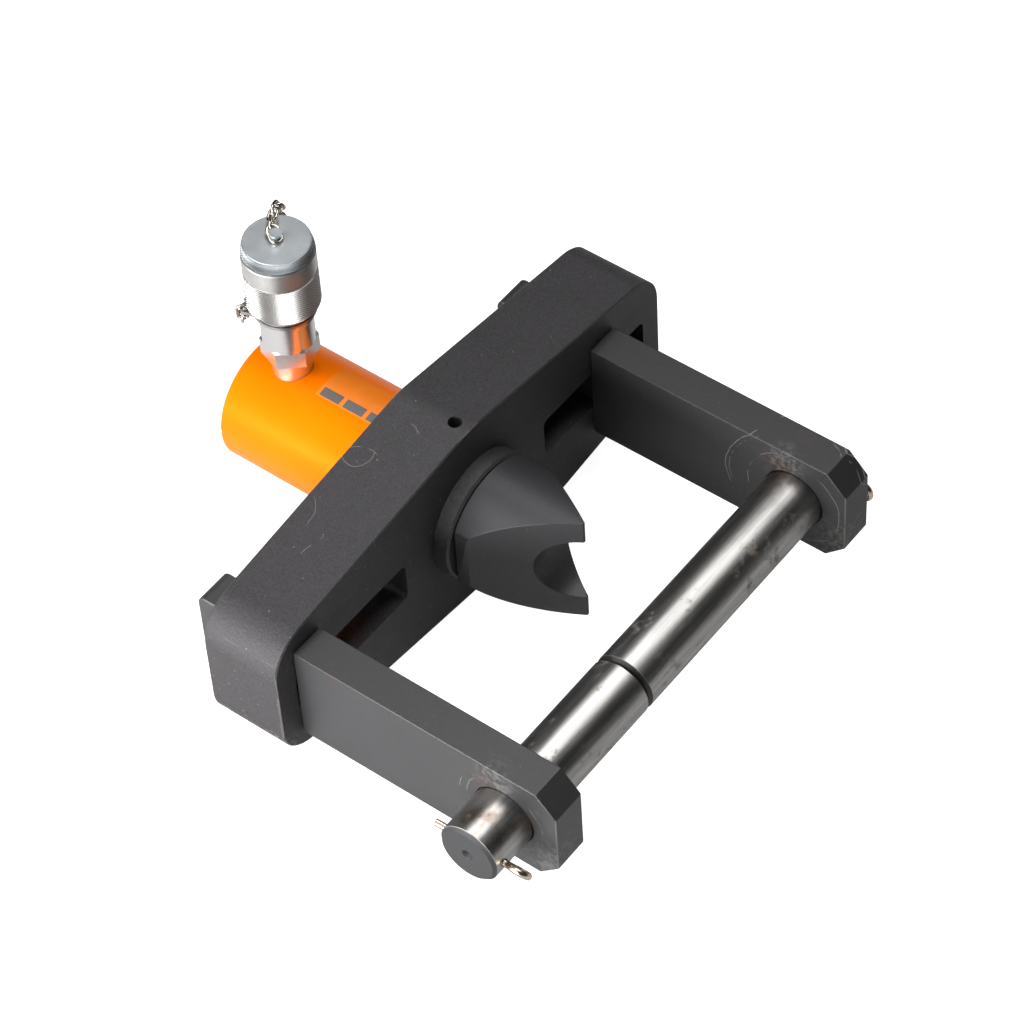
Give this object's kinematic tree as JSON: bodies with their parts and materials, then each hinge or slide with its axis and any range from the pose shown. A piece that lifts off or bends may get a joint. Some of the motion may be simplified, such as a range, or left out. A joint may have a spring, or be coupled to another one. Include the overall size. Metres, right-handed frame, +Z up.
{
  "type": "hydraulic flange spreader",
  "caption": "Hydraulic flange spreader: a ram through a slotted crosshead drives a notched wedge head between two T-headed sliding arms with pull-out jaw pins.",
  "frame": {"origin": "where the ram's axis crosses the crosshead's front face", "axes": "X along the crosshead and the jaw pins, the ram pushes towards -Y, +Z is up along the coupler"},
  "size_m": [0.2647, 0.2427, 0.1564],
  "materials": {
    "blasted_black": "blasted black, fine grain, rubbed at edges",
    "black_steel": "satin blackened steel, bright at edges",
    "black_screw": "black oxide",
    "ground_steel": "ground, with light rust marks",
    "bright_wire": "bright drawn wire",
    "orange_paint": "glossy orange enamel",
    "bronze": "turned bronze",
    "seal_rubber": "moulded",
    "white_plastic": "moulded",
    "plated_rod": "hard plated and ground",
    "spring_steel": "hardened",
    "inner_steel": "turned",
    "zinc_plate": "bright zinc, knurled and turned",
    "cap_zinc": "dull bluish zinc, turned"
  },
  "bodies": {
    "frame": {"crosshead": "blasted_black", "crosshead_lock_screw": "black_screw", "cylinder_body": "orange_paint", "stop_ring": "bronze", "wiper_seal": "seal_rubber", "spring_base_anchor": "inner_steel", "return_spring": "spring_steel", "coupler_body": "zinc_plate", "sleeve_retaining_ring": "spring_steel", "chain_ring": "bright_wire", "chain_links": "bright_wire", "cap_chain_eye": "bright_wire", "cap_rivet": "cap_zinc", "valve_seat": "bronze", "poppet_spring": "spring_steel"},
    "left_jaw": {"left_arm": "black_steel"},
    "right_jaw": {"right_arm": "black_steel"},
    "short_jaw_pin": {"short_pin": "ground_steel", "short_pin_cotter": "bright_wire"},
    "long_jaw_pin": {"long_pin": "ground_steel", "long_pin_cotter": "bright_wire"},
    "ram": {"plunger": "plated_rod", "piston_seal": "seal_rubber", "backup_ring": "white_plastic", "spring_plunger_anchor": "inner_steel", "wedge_head": "blasted_black", "head_stud": "inner_steel"},
    "sleeve": {"coupler_sleeve": "zinc_plate"},
    "cap": {"dust_cap": "cap_zinc", "cap_gasket": "seal_rubber"},
    "poppet": {"valve_poppet": "inner_steel"}
  },
  "joints": [
    {"name": "ram_stroke", "type": "slide", "parent": "frame", "child": "ram", "axis": [0, -1, 0], "range_m": [0, 0.05], "deforming": ["return_spring"]},
    {"name": "left_arm_slide", "type": "slide", "parent": "frame", "child": "left_jaw", "axis": [-1, 0, 0], "range_m": [-0.0547, 0.002]},
    {"name": "right_arm_slide", "type": "slide", "parent": "frame", "child": "right_jaw", "axis": [1, 0, 0], "range_m": [-0.0344, 0.0009]},
    {"name": "short_pin_slide", "type": "slide", "parent": "frame", "child": "short_jaw_pin", "axis": [-1, 0, 0], "range_m": [0, 0.058]},
    {"name": "long_pin_slide", "type": "slide", "parent": "frame", "child": "long_jaw_pin", "axis": [1, 0, 0], "range_m": [0, 0.108]},
    {"name": "sleeve_turn", "type": "hinge", "parent": "frame", "child": "sleeve", "pos_m": [0, 0.0935, 0.083], "axis": [0, 0, 1], "continuous": true},
    {"name": "cap_turn", "type": "hinge", "parent": "frame", "child": "cap", "pos_m": [0, 0.0935, 0.1], "axis": [0, 0, 1], "range_deg": [0, 360]},
    {"name": "valve_push", "type": "slide", "parent": "frame", "child": "poppet", "axis": [0, 0, -1], "range_m": [0, 0.003], "stiffness_N_per_m": 800, "springref_m": -0.003, "deforming": ["poppet_spring"]}
  ]
}
